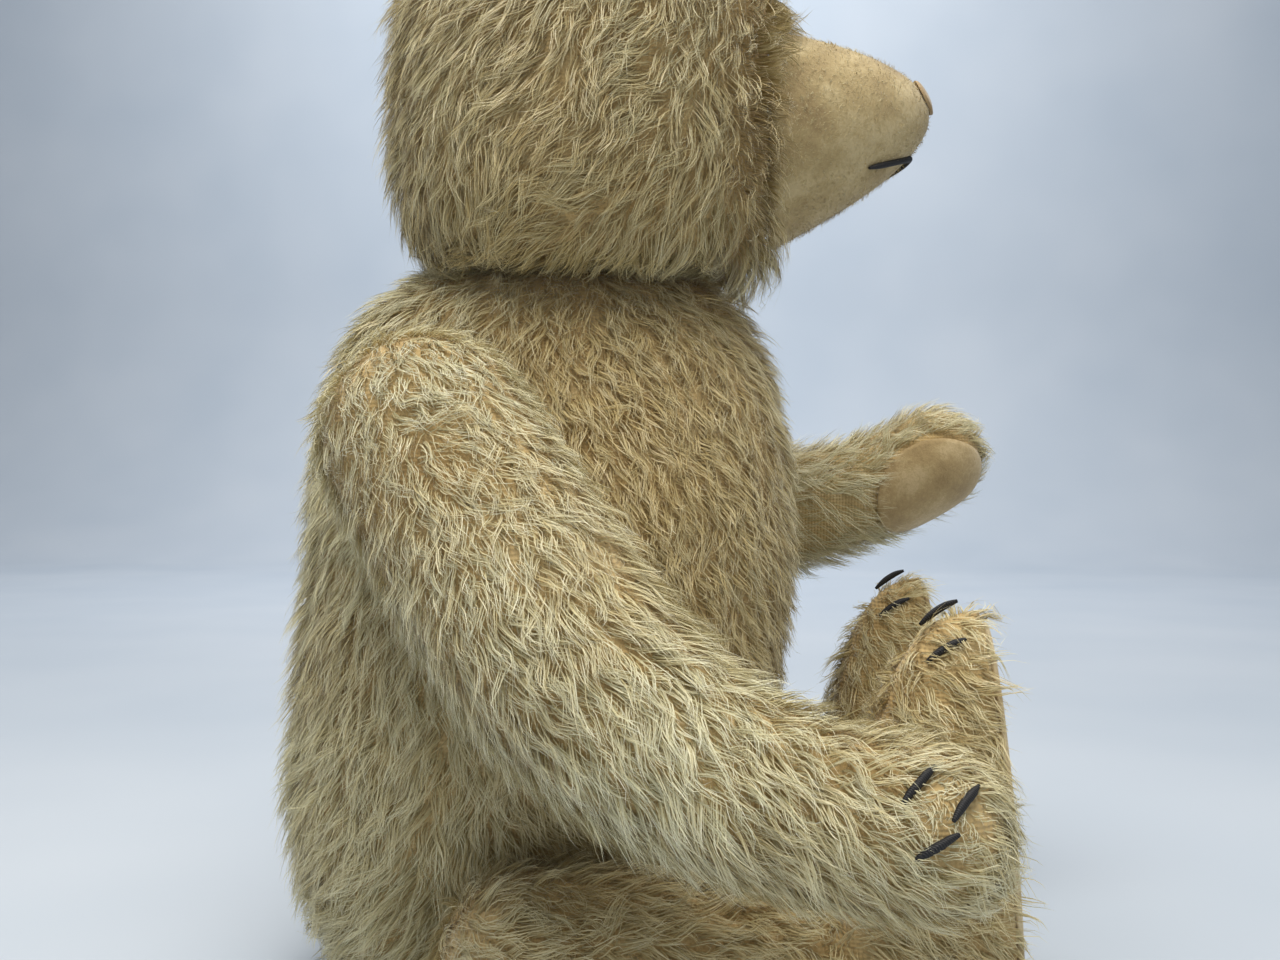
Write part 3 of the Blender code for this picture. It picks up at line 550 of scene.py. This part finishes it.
def strand_mesh(name, rows, facing, width, tint, depth_shift, draws):
    """Tapering ribbons along rows of points: one strand for each column, with painted shade at the root that
    lightens to the tip.
    """
    steps, count = rows.shape[0] - 1, rows.shape[1]
    along = np.empty_like(rows)
    along[1:-1] = rows[2:] - rows[:-2]
    along[0] = rows[1] - rows[0]
    along[-1] = rows[-1] - rows[-2]
    roll = draws.normal(0, STRAND_ROLL, count)
    verts = np.empty((count, 2 * steps + 1, 3), np.float32)
    for k in range(steps):
        forward = unit(along[k])
        side = unit(np.cross(forward, facing))
        up = np.cross(side, forward)
        flat = side * np.cos(roll)[:, None] + up * np.sin(roll)[:, None]
        half = (width * STRAND_WIDTHS[k * len(STRAND_WIDTHS) // steps] / 2)[:, None]
        verts[:, 2 * k] = rows[k] - flat * half
        verts[:, 2 * k + 1] = rows[k] + flat * half
    verts[:, -1] = rows[-1]
    verts[:, :, 2] = np.maximum(verts[:, :, 2], FLOOR_CLEAR)

    first = (np.arange(count) * (2 * steps + 1))[:, None]
    corners = []
    for k in range(steps - 1):
        corners += [2 * k, 2 * k + 1, 2 * k + 3, 2 * k + 2]
    corners += [2 * steps - 2, 2 * steps - 1, 2 * steps]
    loops = (first + np.array(corners)[None, :]).astype(np.int32).ravel()
    sizes = np.tile(np.array([4] * (steps - 1) + [3]), count)
    starts = np.concatenate([[0], np.cumsum(sizes)[:-1]]).astype(np.int32)

    mesh = bpy.data.meshes.new(name)
    mesh.vertices.add(count * (2 * steps + 1))
    mesh.vertices.foreach_set("co", verts.ravel())
    mesh.loops.add(len(loops))
    mesh.loops.foreach_set("vertex_index", loops)
    mesh.polygons.add(len(sizes))
    mesh.polygons.foreach_set("loop_start", starts)
    places = (np.arange(steps) + 0.5) / steps
    # Painted shade: each segment is darker the nearer it lies to the root
    shade = places[None, :] * (FUR_DEPTHS - 2) + depth_shift[:, None]
    shade = shade + draws.normal(0, SEGMENT_JITTER, (count, steps))
    shade = np.clip(np.round(shade), 0, FUR_DEPTHS - 1).astype(np.int32)
    tints = np.clip(np.round(tint * (FUR_TINTS - 1)), 0, FUR_TINTS - 1).astype(np.int32)
    mesh.polygons.foreach_set("material_index", (tints[:, None] * FUR_DEPTHS + shade).ravel())
    mesh.update(calc_edges=True)
    mesh.shade_smooth()
    for shade_material in FUR_SHADES:
        mesh.materials.append(shade_material)
    return mesh


def nearest_locks(roots, guide_roots, draws):
    """The number of the lock that each strand joins: most often its nearest."""
    near = KDTree(len(guide_roots))
    for i, root in enumerate(guide_roots):
        near.insert(Vector(root), i)
    near.balance()
    picks = np.zeros(len(roots), np.int32)
    choice = draws.random(len(roots))
    for i, root in enumerate(roots):
        found = near.find_n(Vector(root), 3)
        pick = 0 if choice[i] < OWN_LOCK else 1 if choice[i] < SECOND_LOCK else 2
        picks[i] = found[min(pick, len(found) - 1)][1]
    return picks


def strand_rows(roots, normals, guide_roots, guides, picks, tight, reach, coat, draws):
    """Points along every strand, which gathers towards its lock's guide."""
    offset = roots - guide_roots[picks]
    frizz = draws.normal(0, 1.0, (len(roots), 3)) * coat["frizz"]
    steps = coat["segments"]
    rows = []
    for k in range(steps + 1):
        t = k / steps
        place = np.clip(t * reach * GUIDE_STEPS, 0, GUIDE_STEPS - 1e-6)
        low = place.astype(np.int32)
        share = (place - low)[:, None]
        on_guide = guides[low, picks] * (1 - share) + guides[low + 1, picks] * share
        spread = (1 - tight * t**0.9)[:, None]
        wobble = frizz * (t**1.3) * (1 + 0.6 * sin(7 * t))
        rows.append(on_guide + offset * spread + wobble)
    rows = np.array(rows)
    rows[0] = roots - normals * STRAND_DEPTH
    return rows


def fur(name, body, skin, coat, parts=1):
    """Covers a skin with locks of strands that follow its coat's flow, in one or a few pieces."""
    draws = np.random.default_rng(coat["seed"])
    tree = BVHTree.FromPolygons(
        [v.co for v in skin.data.vertices], [tuple(p.vertices) for p in skin.data.polygons]
    )
    guide_roots, guide_normals = scatter(skin.data, coat["lock"], coat["chance"], draws)
    guides = comb(tree, guide_roots, guide_normals, coat, draws)
    locks = len(guide_roots)

    roots, normals = scatter(skin.data, coat["spacing"], coat["chance"], draws)
    count = len(roots)
    picks = nearest_locks(roots, guide_roots, draws)
    tight = draws.uniform(*LOCK_TIGHTNESS, locks)[picks]
    under = draws.random(count) < UNDERCOAT
    short, long = draws.uniform(*UNDERCOAT_REACH, count), draws.uniform(*TOPCOAT_REACH, count)
    reach = np.where(under, short, long)
    rows = strand_rows(roots, normals, guide_roots, guides, picks, tight, reach, coat, draws)

    width = coat["width"] * draws.uniform(*STRAND_WIDTH_SPREAD, count)
    lock_tint = draws.uniform(0, 1, locks)[picks]
    patch = swirl(roots, PATCH_SIZE, coat["seed"] + 9)[:, 0]
    tint = MIDDLE_TINT + TINT_BY_PATCH * patch + TINT_BY_LOCK * (lock_tint - 0.5)
    tint = tint + draws.normal(0, TINT_JITTER, count)
    tint = np.clip(tint + coat["cool"](roots, normals), 0, 1)
    lock_shade = draws.uniform(0, 1, locks)[picks]
    pale = SHADE_BY_LOCK * (lock_shade - 0.5) + draws.normal(0, SHADE_JITTER, count)
    # Each strand's shift in shade: the coat's own, which paints light and shade on some coats, its lock's random
    # tone, and the undercoat's painted shade
    depth_shift = coat["pale"](roots, normals) + pale - UNDERCOAT_PAINTED_SHADE * under
    order = np.argsort(coat["sort"](roots), kind="stable")
    for number, chosen in enumerate(np.array_split(order, parts), 1):
        part_name = name if parts == 1 else f"{name}_{number}"
        mesh = strand_mesh(
            part_name, rows[:, chosen], normals[chosen], width[chosen], tint[chosen],
            depth_shift[chosen], draws,
        )
        link(part_name, mesh, None, body)


def always(value):
    """A coat's function with the same value everywhere."""
    return lambda p, n: np.full(len(p), value)


def coat_of(seed, flow, length, chance=None, pale=None, **changes):
    """A coat's settings. Its functions take arrays of points and normals on the skin:

    flow is the way the fur lies, length the locks' length, chance the share of strands that grow,
    pale and cool shift the shade, stand adds lift, and sort orders the strands into pieces."""
    coat = {
        "seed": seed,
        "flow": flow,
        "length": length,
        "chance": chance or always(1.0),
        "pale": pale or always(0.0),
        "cool": always(0.0),
        "stand": always(0.0),
        "sort": lambda p: p[:, 2],
        "lock": 0.0032,
        "spacing": 0.00108,
        "segments": 5,
        "lift": 0.36,
        "sag": 0.06,
        "swirl": 0.60,
        "swirl_size": 0.028,
        "tousle": 0.55,
        "wave": 0.0028,
        "frizz": 0.0008,
        "width": 0.00033,
    }
    coat.update(changes)
    return coat


# ---------------------------------------------------------------- limbs' own directions


def limb_frame(joint_name, pitch):
    """A limb's joint, and its directions: along it, across it to the bear's left, and up."""
    joint = next(j for j in frame["joints"] if j["name"] == joint_name)
    across = np.array(joint["axis"], float)
    across /= np.linalg.norm(across)
    along = np.array([1.0, 0.0, 0.0]) - across * across[0]
    along /= np.linalg.norm(along)
    up = np.cross(along, across)
    turned_along = along * cos(pitch) + up * sin(pitch)
    turned_up = up * cos(pitch) - along * sin(pitch)
    return np.array(joint["pos_m"], float), turned_along, across, turned_up


# The arm's bend, measured along it from the shoulder joint
ARM_BEND_START = 0.0590
ARM_BEND_LENGTH = 0.1080
ARM_BEND = radians(50)
ARM_PITCHES = {"right": radians(-56), "left": radians(-22)}


def arm_place(points, arm):
    """How far along the arm each point lies, following its bend, and the arm's direction there."""
    origin, along, _, up = arm
    local = points - origin
    u, v = local @ along, local @ up
    radius = ARM_BEND_LENGTH / ARM_BEND
    turn = np.clip(np.arctan2(u - ARM_BEND_START, radius - v), 0.0, ARM_BEND)
    turn = np.where(v > radius, ARM_BEND, turn)
    end_u = ARM_BEND_START + radius * sin(ARM_BEND)
    end_v = radius * (1 - cos(ARM_BEND))
    past = (u - end_u) * cos(ARM_BEND) + (v - end_v) * sin(ARM_BEND)
    place = np.where(
        turn >= ARM_BEND,
        ARM_BEND_START + ARM_BEND_LENGTH + np.maximum(past, 0),
        np.where(turn > 0, ARM_BEND_START + ARM_BEND_LENGTH * turn / ARM_BEND, u),
    )
    way = along[None, :] * np.cos(turn)[:, None] + up[None, :] * np.sin(turn)[:, None]
    return place, way


# ---------------------------------------------------------------- the bear

# Each coat's own seed for its random draws
SEEDS = {
    "body": 11, "head": 23, "muzzle": 71, "right_ear": 31, "left_ear": 37,
    "right_arm": 41, "left_arm": 43, "right_leg": 53, "left_leg": 59,
}
BODY_PILE = 0.0155
HEAD_PILE = 0.0150
EAR_FRONT_PILE, EAR_BACK_PILE = 0.0075, 0.0105
SHOULDER_PILE = 0.0112
LEG_PILE = 0.0150
MUZZLE_FUZZ = 0.0021
LIMB_RADIUS = 0.030  # the fur is short this near to a limb's joint
ROUND_EYE = 0.0062
ROUND_CLAW = 0.0045
PAD_MARGIN = 0.0024
SOLE_MARGIN = 0.0012
NOSE_SUNK = 0.0008
MOUTH_SUNK = 0.0017
CLAW_SUNK = 0.0010


def centre_of(name):
    """The middle of a CAD node's box."""
    low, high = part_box(name)
    return np.array((low + high) / 2)


def off_points(points, centres, radius):
    """1 away from every centre, falling to 0 within radius of one."""
    keep = np.ones(len(points))
    for centre in centres:
        away = np.linalg.norm(points - centre[None, :], axis=1)
        keep = np.minimum(keep, smooth(radius * 0.6, radius, away))
    return keep


def surface_of(name):
    """A CAD node's surface, to find the nearest point on."""
    form = node_form(name)
    tree = BVHTree.FromBMesh(form)
    form.free()
    return tree


def off_piece(points, tree, clear):
    """0 where a point lies within clear of a piece, rising to 1 just past it."""
    away = np.array([tree.find_nearest(Vector(p))[3] for p in points])
    return smooth(clear * 0.75, clear * 1.25, away)


def one_when_down(n):
    """1 on a face that looks straight down, 0 on one that looks sideways."""
    return smooth(-0.5, -0.95, n[:, 2])


def bare_seat(n):
    """1 on the flat that the bear sits on, 0 elsewhere."""
    return smooth(-0.6, -0.98, n[:, 2])


def build_torso():
    """The body's fur falls down its sides, shorter in front, and spreads where it meets the table."""
    skin = plush("body_plush", "body_cover", "torso")
    centre = np.array([(BODY_LOW.x + BODY_HIGH.x) / 2, MIDDLE_Y])
    limbs = [np.array(joint["pos_m"]) for joint in frame["joints"] if joint["name"] != "neck_swivel"]

    def front_of(p):
        return smooth(-0.03, 0.02, p[:, 0] - centre[0])

    def flow(p, n):
        out = p[:, :2] - centre[None, :]
        way = np.zeros_like(p)
        way[:, :2] = out * 6.0
        way[:, 2] = -1.0
        low = smooth(0.13, 0.03, p[:, 2])
        way[:, 0] -= 0.55 * low * smooth(0.02, -0.04, p[:, 0] - centre[0])
        way += n * np.array([1, 1, 0])[None, :] * (0.8 * smooth(0.022, 0.004, p[:, 2]))[:, None]
        return way

    def length(p, n):
        base = np.full(len(p), BODY_PILE)
        base *= 1 - 0.30 * smooth(-0.02, 0.05, p[:, 0] - centre[0]) * smooth(0.23, 0.19, p[:, 2])
        base *= 1 - 0.45 * one_when_down(n)
        base *= 0.30 + 0.70 * off_points(p, limbs, LIMB_RADIUS)
        return base * (1 - 0.25 * smooth(0.6, 0.95, n[:, 2]))

    def chance(p, n):
        return 1 - 0.75 * bare_seat(n)

    # Painted light and shade on the body's fur: the back a step darker as painted shade, the belly much paler as
    # painted light, and the lower front darker near the table, partly painted shade and partly wear
    def pale(p, n):
        front = front_of(p)
        belly_painted_light = smooth(0.45, 0.9, n[:, 0]) * smooth(0.03, 0.09, p[:, 2])
        low = smooth(0.09, 0.02, p[:, 2]) * front * (1 - belly_painted_light)
        return -0.20 + 0.2 * front + 1.2 * belly_painted_light - 0.7 * low

    def cool(p, n):
        return 0.30 - 0.65 * front_of(p)

    coat = coat_of(SEEDS["body"], flow, length, chance, pale, cool=cool)
    fur("body_fur", "torso", skin, coat, parts=5)


def build_head():
    """The head's fur runs back and down from the face, and stands up round the muzzle."""
    skin = plush("head_plush", "head_cover", "head")
    face = np.array([MUZZLE_LOW.x + 0.02, MIDDLE_Y, MUZZLE_Z])
    eyes = [centre_of(f"{side}_eye") for side in SIDES]

    def flow(p, n):
        away = unit(p - face[None, :])
        way = away * 0.60
        way[:, 2] -= 0.95
        return way

    def length(p, n):
        base = HEAD_PILE * (1 - 0.10 * smooth(0.55, 0.95, n[:, 0]))
        return base * (0.45 + 0.55 * off_points(p, eyes, 0.016))

    def muzzle_share(p):
        """Under 1 within the muzzle's outline, and large on the back of the head."""
        wide = (MUZZLE_HIGH.y - MUZZLE_LOW.y) / 2
        tall = (MUZZLE_HIGH.z - MUZZLE_LOW.z) / 2
        away = np.sqrt(((p[:, 1] - MIDDLE_Y) / wide) ** 2 + ((p[:, 2] - MUZZLE_Z) / tall) ** 2)
        return np.where(p[:, 0] > MUZZLE_LOW.x - 0.012, away, 9.0)

    def chance(p, n):
        keep = np.ones(len(p))
        keep[muzzle_share(p) < 0.94] = 0
        return keep * off_points(p, eyes, ROUND_EYE)

    def stand(p, n):
        return 0.70 * smooth(1.50, 1.10, muzzle_share(p)) * off_points(p, eyes, 0.018)

    # The head's fur is painted a step darker all over: painted shade on the head's side
    coat = coat_of(
        SEEDS["head"], flow, length, chance, always(-0.75), swirl=0.85, stand=stand, cool=always(-0.05)
    )
    fur("head_fur", "head", skin, coat, parts=3)


def build_ear(side):
    """An ear's fur fans out from its seam, shorter in front."""
    name = f"{side}_ear"
    skin = plush(f"{name}_plush", name, "head", hollow=False)
    low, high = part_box(name)
    base = np.array([(low.x + high.x) / 2, MIDDLE_Y, low.z])

    def flow(p, n):
        return unit(p - base[None, :]) + np.array([-0.25, 0, 0])[None, :]

    def length(p, n):
        return np.where(n[:, 0] > 0.2, EAR_FRONT_PILE, EAR_BACK_PILE)

    def chance(p, n):
        return 1 - smooth(0.0030, 0.0, np.linalg.norm(p - base[None, :], axis=1))

    coat = coat_of(SEEDS[name], flow, length, chance, lift=0.30, swirl=0.3)
    fur(f"{name}_fur", "head", skin, coat)


def build_arm(side):
    """An arm's fur runs down to the paw, worn short at its top and round the claws."""
    body = f"{side}_arm"
    skin = plush(f"{body}_plush", f"{body}_cover", body)
    arm = limb_frame(f"{side}_shoulder", ARM_PITCHES[side])
    pad = surface_of(f"{side}_paw_pad")
    claws = [centre_of(f"{side}_paw_claw_{k}") for k in (1, 2, 3)]
    worn = sum(claws) / 3
    outward = arm[2] * (1 if side == "left" else -1)

    def flow(p, n):
        place, way = arm_place(p, arm)
        way = way + np.array([0, 0, -0.30])[None, :]
        start = smooth(0.02, -0.02, place)[:, None]
        return way + np.array([0, 0, 0.2])[None, :] * start

    def length(p, n):
        place, _ = arm_place(p, arm)
        base = SHOULDER_PILE + 0.0040 * smooth(0.02, 0.09, place) - 0.0032 * smooth(0.140, 0.185, place)
        return base * (0.35 + 0.65 * off_points(p, [worn], 0.013))

    def chance(p, n):
        keep = off_piece(p, pad, PAD_MARGIN)
        keep *= 1 - 0.5 * (1 - off_points(p, claws, ROUND_CLAW))
        keep[(n @ outward) < -0.95] *= 0.35
        return keep

    # Painted light: the arm's fur is painted paler all over, where the lamp above lights it more than the body,
    # and it turns darker towards the paw
    def pale(p, n):
        place, _ = arm_place(p, arm)
        return 0.70 - 0.30 * smooth(0.12, 0.17, place)

    def cool(p, n):
        place, _ = arm_place(p, arm)
        return 0.28 - 0.12 * smooth(0.12, 0.17, place)

    coat = coat_of(
        SEEDS[body], flow, length, chance, pale, cool=cool, sort=lambda p: p @ arm[1],
        tousle=0.42, swirl=0.50, spacing=0.00100 if side == "right" else 0.00108, width=0.00030,
    )
    fur(f"{body}_fur", body, skin, coat, parts=2)


def build_leg(side):
    """A leg's fur runs forwards to the sole, and is sparse on the seat and at the hip."""
    body = f"{side}_leg"
    skin = plush(f"{body}_plush", f"{body}_cover", body)
    sole = surface_of(f"{side}_foot_sole")
    claws = [centre_of(f"{side}_foot_claw_{k}") for k in (1, 2, 3)]
    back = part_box(f"{body}_cover")[0].x
    sole_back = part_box(f"{side}_foot_sole")[0].x
    outward = np.array([0.0, 1.0 if side == "left" else -1.0, 0.0])

    def flow(p, n):
        rise = smooth(0.045, 0.075, p[:, 2])[:, None]
        on_leg, on_foot = np.array([1.0, 0, -0.25])[None, :], np.array([0.75, 0, -0.45])[None, :]
        return on_leg * (1 - rise) + on_foot * rise

    def length(p, n):
        base = LEG_PILE - 0.0028 * smooth(back + 0.085, back + 0.115, p[:, 0])
        base *= 1 - 0.45 * one_when_down(n)
        return base * (0.60 + 0.40 * off_points(p, claws, 0.006))

    def chance(p, n):
        keep = off_piece(p, sole, SOLE_MARGIN)
        keep[(n[:, 0] > 0.9) & (p[:, 0] > sole_back - 0.006)] = 0
        keep *= 1 - 0.5 * (1 - off_points(p, claws, ROUND_CLAW))
        keep *= 1 - 0.7 * bare_seat(n)
        keep[(n @ outward) < -0.95] *= 0.6
        return keep

    coat = coat_of(SEEDS[body], flow, length, chance, always(0.05), sort=lambda p: p[:, 0])
    fur(f"{body}_fur", body, skin, coat)


def build_muzzle():
    """The felt muzzle with a fine fuzz that lies back from its tip, and the nose on it."""
    form = node_form("muzzle_cover")
    keep_outside(form)
    thing = link("muzzle_plush", rounded_mesh("muzzle_plush", form, 3), MUZZLE_FELT, "head")
    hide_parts("muzzle_cover")
    fuzz = coat_of(
        SEEDS["muzzle"], lambda p, n: np.tile(np.array([-1.0, 0.0, -0.3]), (len(p), 1)),
        always(MUZZLE_FUZZ), lambda p, n: (p[:, 0] > MUZZLE_LOW.x + 0.001) * 1.0, always(-0.6),
        swirl=1.2, tousle=1.4, wave=0.0004, frizz=0.0003, lift=0.42,
        lock=0.0016, spacing=0.00095, segments=3, width=0.00014,
    )
    fur("muzzle_fuzz", "head", thing, fuzz)
    nose = build_felt("nose", "nose_patch", "head", NOSE_FELT)
    for vert in nose.data.vertices:
        vert.co.x -= NOSE_SUNK


def build_thread(name, source, body, sunk, inside):
    """A claw's or the mouth's thread, sunk a little way into what it is sewn to."""
    thing = link(name, rounded_mesh(name, node_form(source), 2), BLACK_THREAD, body)
    for vert in thing.data.vertices:
        vert.co += inside(vert.co) * sunk
    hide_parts(source)


def into_muzzle(point):
    """The way from a point to the muzzle's own axis."""
    return Vector((0.0, MIDDLE_Y - point.y, MUZZLE_Z - point.z)).normalized()


def into_cover(cover):
    """Gives the way from a point to the nearest point of a cover."""
    tree = surface_of(cover)
    return lambda point: (tree.find_nearest(point)[0] - point).normalized()


# ---------------------------------------------------------------- the studio

FLOOR_FRONT, FLOOR_BACK = -2.6, 2.0  # along Y, across the camera's view
STAGE_HALF_WIDTH = 3.2
CURVE_RADIUS = 0.6
CURVE_STEPS = 16
STAGE_TOP = 2.6
# Each light's name, place, target, size, watts and colour
LIGHTS = (
    ("top", (-0.05, -0.28, 1.15), (0.0, 0.0, 0.15), 0.9, 14.0, (1.0, 0.97, 0.91)),
    ("wall", (-0.2, 1.3, 1.9), (-0.2, 2.6, 0.6), 1.4, 31.0, (0.96, 0.98, 1.0)),
    ("front", (0.55, -1.0, 0.65), (0.0, 0.0, 0.16), 0.8, 1.0, (1.0, 0.98, 0.95)),
)
SKY_COLOUR = (0.88, 0.93, 1.0, 1.0)
SKY_STRENGTH = 0.30
CAMERA_HEIGHT = 0.165
CAMERA_DISTANCE = 0.431
CAMERA_AIM_X = NECK.x + 0.0218
CAMERA_TURN = radians(4.5)
CAMERA_FOCUS_PIXELS = 1300
FRAME_PIXELS = 1280
SENSOR = 36.0


def aim(thing, place, way):
    """Puts a lamp or camera at a place, looking along a way."""
    scene.collection.objects.link(thing)
    thing.location = place
    thing.rotation_mode = "QUATERNION"
    thing.rotation_quaternion = way.to_track_quat("-Z", "Y")


def build_stage():
    """A pale sheet that rises in a soft curve behind the bear."""
    outline = [(FLOOR_FRONT, 0.0), (FLOOR_BACK, 0.0)]
    for k in range(1, CURVE_STEPS + 1):
        t = pi / 2 * k / CURVE_STEPS
        outline.append((FLOOR_BACK + CURVE_RADIUS * sin(t), CURVE_RADIUS * (1 - cos(t))))
    outline.append((FLOOR_BACK + CURVE_RADIUS, STAGE_TOP))
    sheet = bmesh.new()
    rows = [
        [sheet.verts.new((x, y, z)) for x in (-STAGE_HALF_WIDTH, STAGE_HALF_WIDTH)] for y, z in outline
    ]
    for row, nxt in zip(rows, rows[1:]):
        sheet.faces.new((row[0], row[1], nxt[1], nxt[0]))
    mesh = bpy.data.meshes.new("backdrop")
    sheet.to_mesh(mesh)
    sheet.free()
    mesh.shade_smooth()
    made, tree, shader = new_material("backdrop_paper")
    place = coordinates(tree)
    grain = noise_of(tree, place, 3.0, 2.0)
    colour = ramp(tree, grain, [(0.3, srgb(192, 201, 211)), (0.7, srgb(202, 209, 217))])
    wire(tree, colour, shader.inputs["Base Color"])
    shader.inputs["Roughness"].default_value = 0.9
    mesh.materials.append(made)
    thing = bpy.data.objects.new("backdrop", mesh)
    scene.collection.objects.link(thing)


def build_lights():
    world = bpy.data.worlds.new("studio")
    scene.world = world
    world.use_nodes = True
    back = world.node_tree.nodes["Background"]
    back.inputs["Color"].default_value = SKY_COLOUR
    back.inputs["Strength"].default_value = SKY_STRENGTH
    for name, place, target, size, watts, colour in LIGHTS:
        lamp = bpy.data.lights.new(name, "AREA")
        lamp.shape = "DISK"
        lamp.size = size
        lamp.energy = watts
        lamp.color = colour
        aim(bpy.data.objects.new(name, lamp), place, Vector(target) - Vector(place))


def build_camera():
    """A level camera on the bear's right, a little towards its front."""
    eye = bpy.data.cameras.new("camera")
    eye.sensor_width = SENSOR
    eye.lens = SENSOR * CAMERA_FOCUS_PIXELS / FRAME_PIXELS
    eye.clip_start = 0.02
    thing = bpy.data.objects.new("camera", eye)
    target = Vector((CAMERA_AIM_X, MIDDLE_Y, CAMERA_HEIGHT))
    back = Vector((sin(CAMERA_TURN), -cos(CAMERA_TURN), 0)) * CAMERA_DISTANCE
    aim(thing, target + back, -back)
    scene.camera = thing


dress_cad_nodes()
build_camera()
build_stage()
build_lights()
build_torso()
build_head()
for ear_side in SIDES:
    build_ear(ear_side)
build_muzzle()
build_thread("mouth", "mouth_stitch", "head", MOUTH_SUNK, into_muzzle)
for limb_side in SIDES:
    arm_name, leg_name = f"{limb_side}_arm", f"{limb_side}_leg"
    build_arm(limb_side)
    build_felt(f"{limb_side}_pad", f"{limb_side}_paw_pad", arm_name, PAD_FELT)
    build_leg(limb_side)
    build_felt(f"{limb_side}_sole", f"{limb_side}_foot_sole", leg_name, SOLE_FELT)
    for claw in (1, 2, 3):
        build_thread(
            f"{limb_side}_claw_{claw}", f"{limb_side}_paw_claw_{claw}", arm_name,
            CLAW_SUNK, into_cover(f"{arm_name}_cover"),
        )
        build_thread(
            f"{limb_side}_toe_{claw}", f"{limb_side}_foot_claw_{claw}", leg_name,
            CLAW_SUNK, into_cover(f"{leg_name}_cover"),
        )

scene.view_settings.view_transform = "Standard"
